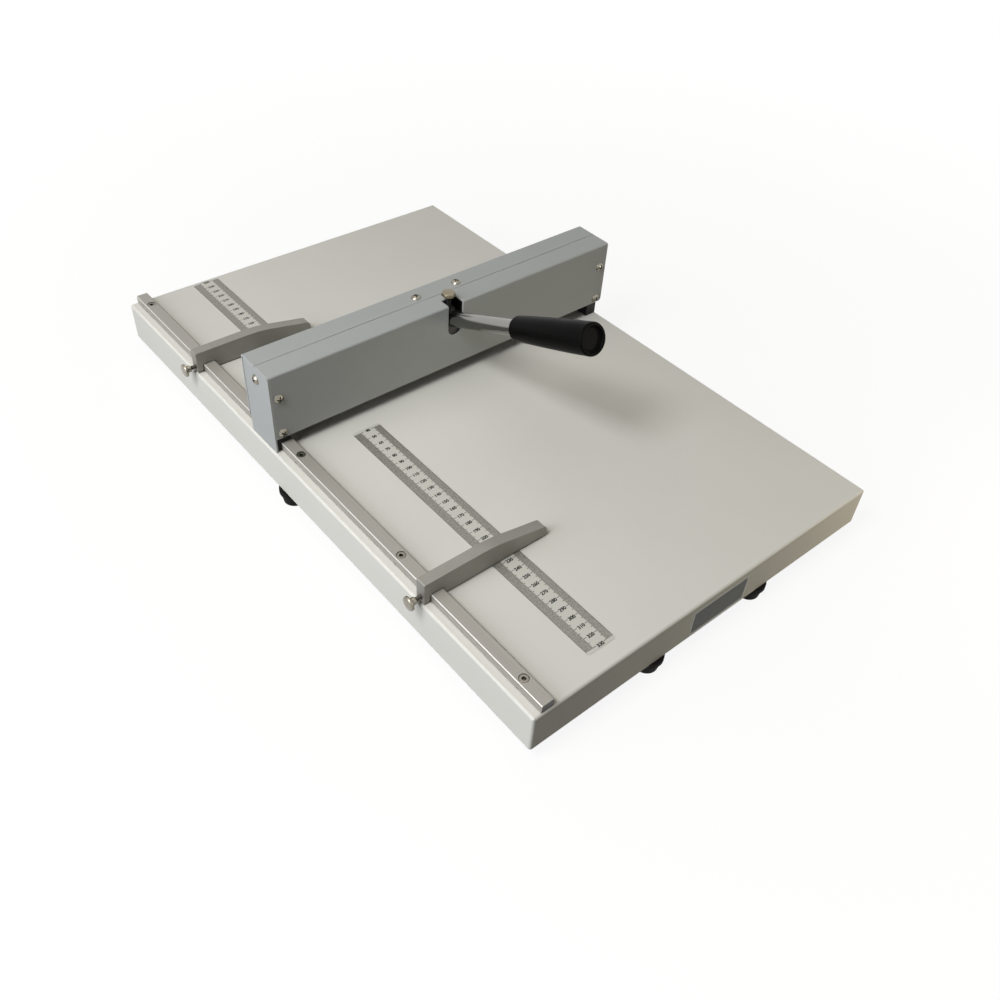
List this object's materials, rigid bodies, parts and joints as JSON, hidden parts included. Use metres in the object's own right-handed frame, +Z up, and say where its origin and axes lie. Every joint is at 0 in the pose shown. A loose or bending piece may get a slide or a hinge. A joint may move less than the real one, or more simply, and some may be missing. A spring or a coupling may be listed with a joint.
{
  "type": "paper creasing machine",
  "caption": "Manual desktop paper creaser: sheet-metal table on rubber feet, covered pressing beam with a gripped lever, guide rail with sliding paper stops and millimetre rulers.",
  "frame": {"origin": "on the floor, under the middle of the table", "axes": "+X to the operator's right along the beam, +Y away from the operator along the table's length, +Z up"},
  "size_m": [0.3858, 0.612, 0.1946],
  "materials": {
    "table_paint": "warm light grey powder coat, fine orange peel",
    "cover_paint": "mid grey powder coat, satin",
    "black_paint": "black paint, satin",
    "rubber": "moulded black rubber",
    "zinc_steel": "zinc-plated steel",
    "nickel_steel": "nickel-plated steel",
    "dark_steel": "oiled mild steel",
    "black_steel": "blackened high-tensile steel",
    "black_oxide": "cast iron, black finish",
    "ground_steel": "hardened and ground steel",
    "spring_steel": "oiled spring wire",
    "chromed_steel": "hard chrome, polished",
    "bronze": "sintered bronze",
    "anodised_aluminium": "natural anodised, drawn",
    "cast_aluminium": "die-cast, bead-blasted",
    "silver_film": "printed polyester film",
    "grip_plastic": "moulded black phenolic"
  },
  "bodies": {
    "frame": {"table_pan": "table_paint", "table_feet": "rubber", "foot_screws": "zinc_steel", "foot_nuts": "zinc_steel", "bed_bar": "dark_steel", "lower_die": "ground_steel", "left_post": "black_paint", "right_post": "black_paint", "post_bolts": "black_steel", "bridge": "black_paint", "bridge_bolts": "black_steel", "left_bearing_block": "dark_steel", "right_bearing_block": "dark_steel", "bearing_bushes": "bronze", "bearing_bolts": "black_steel", "guide_pins": "ground_steel", "left_return_spring": "spring_steel", "right_return_spring": "spring_steel", "front_cover": "cover_paint", "rear_cover": "cover_paint", "left_end_plate": "cover_paint", "right_end_plate": "cover_paint", "cover_screws": "nickel_steel", "guide_rail": "anodised_aluminium", "rail_screws": "zinc_steel", "rail_nuts": "zinc_steel", "front_scale": "silver_film", "rear_scale": "silver_film"},
    "lever": {"lever_shaft": "ground_steel", "shaft_clips": "black_steel", "lever_hub": "black_oxide", "hub_pin": "ground_steel", "hub_bolt": "zinc_steel", "lever_rod": "chromed_steel", "lever_grip": "grip_plastic"},
    "press": {"press_bar": "dark_steel", "cam_plate": "ground_steel", "cam_plate_screws": "black_steel", "guide_bushes": "bronze", "crease_blade": "ground_steel", "blade_screws": "black_steel"},
    "stop_front": {"front_stop": "cast_aluminium"},
    "stop_rear": {"rear_stop": "cast_aluminium"},
    "clamp_front": {"front_clamp_screw": "nickel_steel"},
    "clamp_rear": {"rear_clamp_screw": "nickel_steel"}
  },
  "joints": [
    {"name": "lever_press", "type": "hinge", "parent": "frame", "child": "lever", "pos_m": [0.0024, 0.048, 0.1018], "axis": [1, 0, 0], "range_deg": [0, 22]},
    {"name": "press_slide", "type": "slide", "parent": "frame", "child": "press", "axis": [0, 0, -1], "range_m": [0, 0.0054], "stiffness_N_per_m": 6000, "springref_m": -0.01, "deforming": ["left_return_spring", "right_return_spring"]},
    {"name": "front_stop_slide", "type": "slide", "parent": "frame", "child": "stop_front", "axis": [0, 1, 0], "range_m": [-0.118, 0.19]},
    {"name": "rear_stop_slide", "type": "slide", "parent": "frame", "child": "stop_rear", "axis": [0, 1, 0], "range_m": [-0.092, 0.127]},
    {"name": "front_clamp_turn", "type": "hinge", "parent": "stop_front", "child": "clamp_front", "pos_m": [-0.19, -0.17555, 0.055], "axis": [-1, 0, 0], "range_deg": [0, 360]},
    {"name": "rear_clamp_turn", "type": "hinge", "parent": "stop_rear", "child": "clamp_rear", "pos_m": [-0.19, 0.16735, 0.055], "axis": [-1, 0, 0], "range_deg": [0, 360]}
  ],
  "couplings": [
    {"joint": "press_slide", "follows": "lever_press", "m_per_rad": 0.014}
  ]
}
